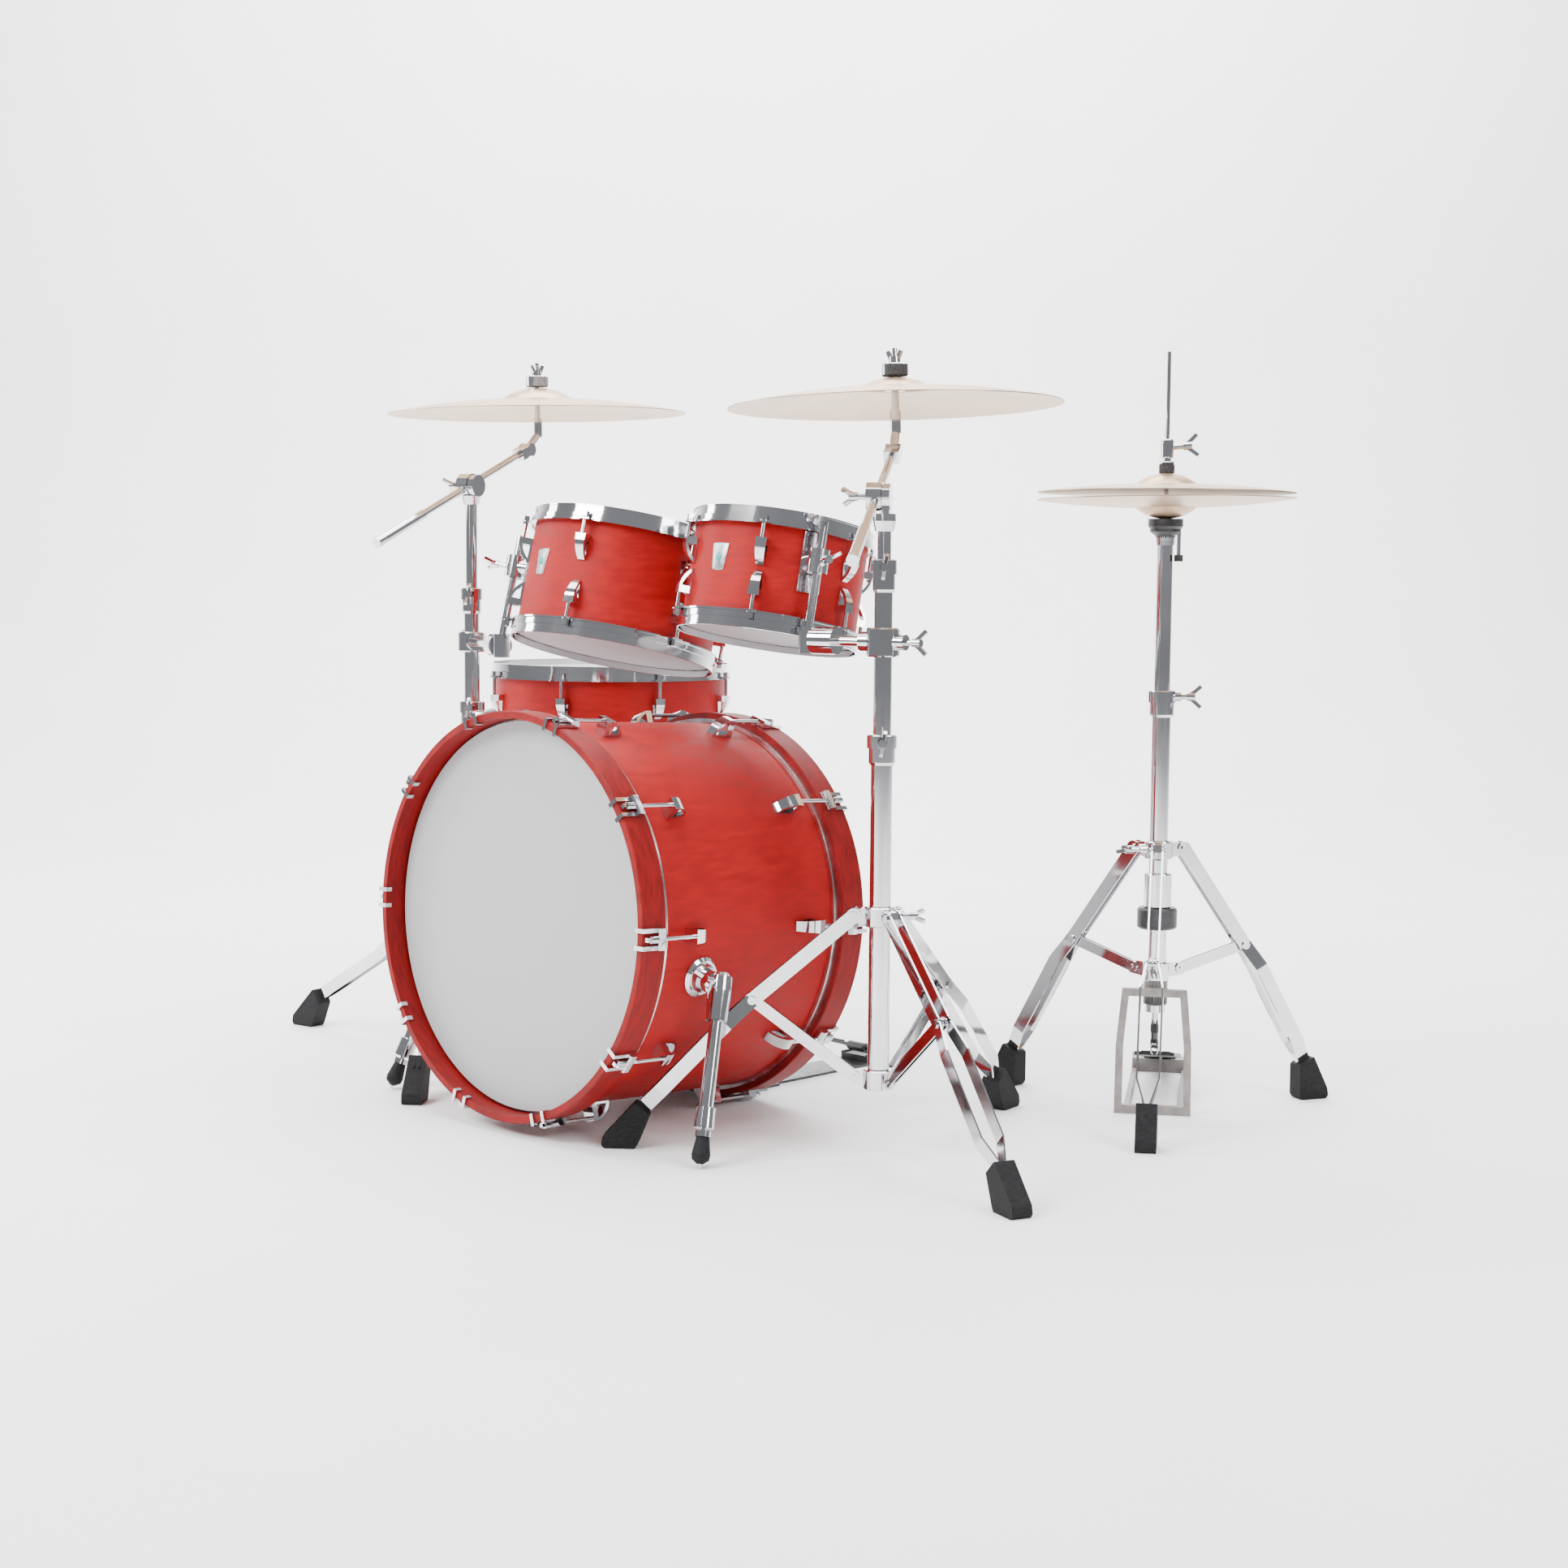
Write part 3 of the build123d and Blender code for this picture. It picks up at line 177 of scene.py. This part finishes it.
RED = surface("red_maple", (0.250, 0.0008, 0.0014), (0.330, 0.0016, 0.0022), (0.50, 0.62),
              scale=30, stretch=(1, 1, 5), relief=0.0001, gloss=0.22)
RED_HOOP = surface("red_hoop", (0.130, 0.0006, 0.0010), (0.215, 0.0012, 0.0018), (0.48, 0.6),
                   scale=38, stretch=(1, 5, 1), relief=0.0001, gloss=0.22)
CHROME = surface("chrome", (0.60, 0.60, 0.62), (0.72, 0.72, 0.74), (0.04, 0.10), 1.0, 9)
WORN_CHROME = surface("flesh_hoop_metal", (0.56, 0.56, 0.57), (0.76, 0.76, 0.77), (0.16, 0.28), 1.0, 30)
FILM = surface("drum_film", (0.36, 0.364, 0.37), (0.40, 0.404, 0.41), (0.5, 0.62),
               scale=900, relief=0.00005)
RUBBER = surface("black_rubber", (0.004, 0.004, 0.005), (0.013, 0.013, 0.014), (0.6, 0.8),
                 scale=120, relief=0.0003, stretch=(1, 1, 3), gloss=0.2)
FELT_DARK = surface("black_felt", (0.018, 0.018, 0.020), (0.060, 0.060, 0.064), (0.9, 1.0),
                    scale=420, relief=0.0006)
FELT_GREY = surface("grey_felt", (0.13, 0.13, 0.14), (0.26, 0.26, 0.27), (0.9, 1.0),
                    scale=420, relief=0.0006)
BLACK = surface("black_paint", (0.014, 0.014, 0.016), (0.034, 0.034, 0.037), (0.3, 0.45), scale=80)
GREY_BROWN = surface("grey_brown_paint", (0.17, 0.155, 0.148), (0.24, 0.22, 0.21), (0.34, 0.5),
                     scale=70)
TEAL = surface("teal_enamel", (0.02, 0.24, 0.25), (0.04, 0.34, 0.34), (0.25, 0.35), scale=200)
BADGE = surface("badge_metal", (0.36, 0.37, 0.38), (0.52, 0.53, 0.54), (0.3, 0.42), 0.8, scale=150)


# Finishes inside one CAD node


def paint(name, base, rules=()):
    """One finish on a CAD node, and another where a rule holds at a face's centre."""
    mesh = NODES[name].data
    mesh.materials.clear()
    for material in (base, *[material for material, _ in rules]):
        mesh.materials.append(material)
    for face in mesh.polygons:
        centre = to_kit(face.center)
        face.material_index = 0
        for index, (_, holds) in enumerate(rules, 1):
            if holds(centre):
                face.material_index = index


def distance(point, axis):
    return math.hypot(point.x - axis[0], point.y - axis[1])


def in_boot(stand):
    """Beyond the mouth of a leg's rubber foot."""
    along = Vector(stand["foot"]) - Vector(stand["knee"])
    along.normalize()
    start = Vector(stand["foot"]).dot(along) - 0.5

    def holds(point):
        return Vector((distance(point, stand["at"]), point.z)).dot(along) > start

    return holds


def in_spur_tip(side):
    knuckle = Vector((side * SPUR_KNUCKLE[0], SPUR_KNUCKLE[1], SPUR_KNUCKLE[2]))
    foot = Vector((side * SPUR_FOOT[0], SPUR_FOOT[1], SPUR_FOOT[2]))
    run = (foot - knuckle).normalized()
    length = (foot - knuckle).length

    def holds(point):
        return length - 44.3 < (point - knuckle).dot(run) < length - 7.2

    return holds


def drum_frame(drum):
    """Centre of a tom's lower rim, its axis, and the direction square to both x and the axis."""
    tilt = math.radians(drum["tilt"])
    axis = Vector((0, math.sin(tilt), math.cos(tilt)))
    across = Vector((0, math.cos(tilt), -math.sin(tilt)))
    return Vector(drum["centre"]), axis, across


def off_axis(point, centre, axis):
    offset = point - centre
    return (offset - axis * offset.dot(axis)).length


def outside(centre, axis, radius):
    return lambda point: off_axis(point, centre, axis) > radius


def between(low, high, inner, outer, axis):
    """A collar around an upright axis."""
    return lambda point: low < point.z < high and inner < distance(point, axis) < outer


def box_axis(name):
    """The upright axis through the middle of a CAD node, in kit millimetres."""
    low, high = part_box(name)
    middle = to_kit((Vector(low) + Vector(high)) / 2)
    return (middle.x, middle.y)


def paint_drums():
    tilt = math.radians(BASS_TILT)
    axis = Vector((0, math.cos(tilt), -math.sin(tilt)))
    front = Vector((0, 0, BASS_HOOP_OUTER * math.cos(tilt) + BASS_LENGTH * math.sin(tilt)))
    paint("bass_drum_shell", RED)
    paint("bass_drum_hoops", RED_HOOP)
    paint("bass_drum_heads", FILM, [(WORN_CHROME, outside(front, axis, BASS_RADIUS + 0.7))])
    paint("bass_drum_lugs", CHROME)
    paint("bass_drum_claws", CHROME)
    paint("bass_drum_spur_left", CHROME, [(RUBBER, in_spur_tip(1))])
    paint("bass_drum_spur_right", CHROME, [(RUBBER, in_spur_tip(-1))])
    for name, drum in TOMS.items():
        centre, axis, _ = drum_frame(drum)
        paint(name + "_shell", RED)
        paint(name + "_hoops", CHROME)
        paint(name + "_heads", FILM, [(WORN_CHROME, outside(centre, axis, drum["radius"] + 0.8))])
        paint(name + "_hardware", CHROME)
    paint("tom_10_mount", CHROME)
    paint("tom_12_mount", CHROME)
    paint("floor_tom_legs", CHROME, [(RUBBER, lambda point: point.z < 34.5)])


def paint_stands():
    for name in ("right_stand", "hihat"):
        paint(name + "_crown", CHROME)
        for k in (1, 2, 3):
            paint(f"{name}_leg_{k}", CHROME, [(RUBBER, in_boot(STANDS[name]))])
            paint(f"{name}_strut_{k}", CHROME)
    paint("left_stand_legs", CHROME, [(RUBBER, in_boot(STANDS["left_stand"]))])
    for name, cymbal, felt in (
        ("right_stand", "crash_cymbal", FELT_DARK),
        ("left_stand", "ride_cymbal", FELT_GREY),
    ):
        for part in ("base_tube", "middle_tube", "upper_tube", "boom"):
            paint(f"{name}_{part}", CHROME)
        top = to_kit(Vector(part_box(cymbal)[1])).z
        axis = box_axis(cymbal)
        upper = between(top + 0.5, top + 19, 4.6, 19.6, axis)
        lower = between(top - 18, top - 6, 5.6, 15.2, axis)
        paint(name + "_cymbal_tilter", CHROME, [(felt, upper), (felt, lower)])
        paint(cymbal, bronze(cymbal + "_bronze", kit(axis[0], axis[1], 0)))


def paint_hihat():
    paint("hihat_base_tube", CHROME, [
        (BLACK, between(276, 310, 14, 31, HAT_CENTRE)),
        (GREY_BROWN, between(176, 205, 5, 19, HAT_CENTRE)),
        (BLACK, between(160, 176.1, 5, 19, HAT_CENTRE)),
    ])
    paint("hihat_upper_tube", CHROME, [
        (BLACK, between(864, 892, 3, 27, HAT_CENTRE)),
        (BLACK, between(827, 839, 12, 32, HAT_CENTRE)),
    ])
    paint("hihat_pull_rod", CHROME, [
        (FELT_DARK, between(HAT_TOP, HAT_TOP + 13, 5.9, 12, HAT_CENTRE)),
        (FELT_DARK, between(HAT_TOP - 7.9, HAT_TOP - 2.5, 5.9, 10.5, HAT_CENTRE)),
    ])
    paint("hihat_chain", CHROME, [(BLACK, lambda point: point.z < 134)])
    paint("hihat_frame", GREY_BROWN)
    paint("hihat_footboard", BLACK)
    metal = bronze("hihat_bronze", kit(*HAT_CENTRE, 0))
    paint("hihat_top_cymbal", metal)
    paint("hihat_bottom_cymbal", metal)


def paint_kick_pedal():
    paint("kick_pedal_frame", BLACK)
    paint("kick_pedal_footboard", BLACK)
    paint("kick_pedal_beater", CHROME, [(FELT_GREY, lambda point: point.z > 265)])


# Pieces that the CAD leaves out


def mesh_piece(name, points, faces, material, body):
    mesh = bpy.data.meshes.new(name)
    mesh.from_pydata([tuple(p) for p in points], [], faces)
    mesh.update()
    mesh.materials.append(material)
    obj = bpy.data.objects.new(name, mesh)
    bpy.context.scene.collection.objects.link(obj)
    for face in mesh.polygons:
        face.use_smooth = True
    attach(obj, body)
    return obj


def plate_on_shell(name, drum, angle, height, outline, lift, thickness, material, body):
    """A closed outline of (around, up) corners, wrapped on a shell, with a rounded edge."""
    centre, axis, across = drum_frame(drum)
    layers = ((1.0, 0.0), (1.0, 0.6), (0.93, 1.0))
    points = []
    for size, level in layers:
        radius = drum["radius"] + lift + thickness * level
        for around, up in outline:
            turn = math.radians(angle) + around * size / drum["radius"]
            out = Vector((1, 0, 0)) * math.cos(turn) + across * math.sin(turn)
            points.append(kit(*(centre + axis * (height + up * size) + out * radius)))
    count = len(outline)
    faces = []
    for layer in range(len(layers) - 1):
        for k in range(count):
            n = (k + 1) % count
            base = layer * count
            faces.append((base + k, base + n, base + count + n, base + count + k))
    faces.append(tuple(range((len(layers) - 1) * count, len(layers) * count)))
    return mesh_piece(name, points, faces, material, body)


def circle(radius, count=24):
    return [(radius * math.cos(math.tau * k / count), radius * math.sin(math.tau * k / count))
            for k in range(count)]


def oval_link(name, start, end, half_width, wire, side, material, body):
    """A chain link: round wire around an oval from start to end, its width along side."""
    start, end, side = Vector(start), Vector(end), Vector(side).normalized()
    run = (end - start).normalized()
    normal = run.cross(side)
    path = []
    for middle, first in ((end, 0), (start, 180)):
        for k in range(9):
            turn = math.radians(first + 180 * k / 8)
            out = side * math.cos(turn) + run * math.sin(turn)
            path.append((middle + out * half_width, out))
    ring, points, faces = 8, [], []
    for place, out in path:
        for k in range(ring):
            turn = math.tau * k / ring
            points.append(kit(*(place + (out * math.cos(turn) + normal * math.sin(turn)) * wire)))
    for j in range(len(path)):
        for k in range(ring):
            a, b = j * ring, (j + 1) % len(path) * ring
            n = (k + 1) % ring
            faces.append((a + k, b + k, b + n, a + n))
    return mesh_piece(name, points, faces, material, body)


def chain_shackle():
    """The link that joins the chain to the toe of the footboard."""
    heading = math.radians(HAT_PEDAL_ANGLE)
    toward_heel = Vector((math.cos(heading), math.sin(heading), 0))
    across = Vector((math.sin(heading), -math.cos(heading), 0))
    top = Vector((*HAT_CENTRE, 97))
    toe = Vector((*HAT_CENTRE, 84)) + toward_heel * 14
    oval_link("hihat_chain_shackle", top, toe, 5.0, 1.6, across, CHROME, "hihat_chain")


def badges():
    """Plain keystone badges with an enamel dot, and no lettering."""
    keystone = [(-15, 19), (-5, 20), (5, 20), (15, 19), (12.5, 0), (10, -19), (3, -20), (-3, -20), (-10, -19),
                (-12.5, 0)]
    keystone.reverse()
    for body, angle, height in (("tom_12", -99.0, 111.0), ("tom_10", -86.0, 99.0)):
        drum = TOMS[body]
        plate_on_shell(body + "_badge", drum, angle, height, keystone, 0.1, 1.4, BADGE, body)
        plate_on_shell(body + "_badge_dot", drum, angle, height, circle(5.5), 1.4, 0.8, TEAL, body)


# Camera, floor and light


def camera():
    pitch, roll = math.radians(4.984), math.radians(0.478)
    forward = HEADING * math.cos(pitch) + Vector((0, 0, -math.sin(pitch)))
    right = forward.cross(Vector((0, 0, 1))).normalized()
    up = right.cross(forward)
    tilted_right = right * math.cos(roll) + up * math.sin(roll)
    tilted_up = up * math.cos(roll) - right * math.sin(roll)
    data = bpy.data.cameras.new("camera")
    data.sensor_width = 36.0
    data.lens = 55.84
    obj = bpy.data.objects.new("camera", data)
    turn = Matrix((tilted_right, tilted_up, -forward)).transposed()
    obj.matrix_world = Matrix.Translation(kit(2709.35, -2168.65, 807.88)) @ turn.to_4x4()
    bpy.context.scene.collection.objects.link(obj)
    bpy.context.scene.camera = obj


def area_light(name, place, target, size, power):
    data = bpy.data.lights.new(name, "AREA")
    data.shape = "RECTANGLE"
    data.size, data.size_y = size
    data.energy = power
    obj = bpy.data.objects.new(name, data)
    obj.location = place
    obj.rotation_euler = (Vector(target) - Vector(place)).to_track_quat("-Z", "Y").to_euler()
    bpy.context.scene.collection.objects.link(obj)


def cyclorama(material):
    side = Vector((0.71029, 0.70390, 0))
    curve, wall, top = 1.6, 4.6, 6.0
    profile = [(-9.0, 0.0), (wall - curve, 0.0)]
    for k in range(1, 25):
        turn = math.radians(90 * k / 24)
        profile.append((wall - curve + curve * math.sin(turn), curve - curve * math.cos(turn)))
    profile.append((wall, top))
    points = [HEADING * s + side * x + Vector((0, 0, z)) for s, z in profile for x in (-9, 9)]
    faces = [(2 * k, 2 * k + 1, 2 * k + 3, 2 * k + 2) for k in range(len(profile) - 1)]
    mesh = bpy.data.meshes.new("cyclorama")
    mesh.from_pydata(points, [], faces)
    mesh.materials.append(material)
    for face in mesh.polygons:
        face.use_smooth = True
    obj = bpy.data.objects.new("cyclorama", mesh)
    bpy.context.scene.collection.objects.link(obj)


def studio():
    cyclorama(surface("floor", (0.88, 0.88, 0.88), (0.90, 0.90, 0.90), (0.8, 0.9), scale=3))
    world = bpy.data.worlds.new("studio")
    world.use_nodes = True
    background = world.node_tree.nodes["Background"]
    background.inputs["Color"].default_value = (0.94, 0.96, 1.0, 1)
    background.inputs["Strength"].default_value = 0.34
    bpy.context.scene.world = world
    area_light("key", (-0.6, -4.2, 3.6), (0, 0, 0.4), (3.0, 2.0), 420)
    area_light("fill", (4.2, -0.2, 2.8), (0, 0, 0.5), (1.6, 2.6), 150)
    area_light("left", (-3.6, -2.0, 2.2), (0, 0, 0.5), (1.0, 2.6), 120)
    area_light("top", (0, 0.2, 4.4), (0, 0, 0), (4.5, 4.5), 470)
    area_light("wall", (-1.6, 1.7, 4.6), (-3.3, 3.3, 1.2), (5.0, 1.0), 520)


paint_drums()
paint_stands()
paint_hihat()
paint_kick_pedal()
badges()
chain_shackle()
camera()
studio()
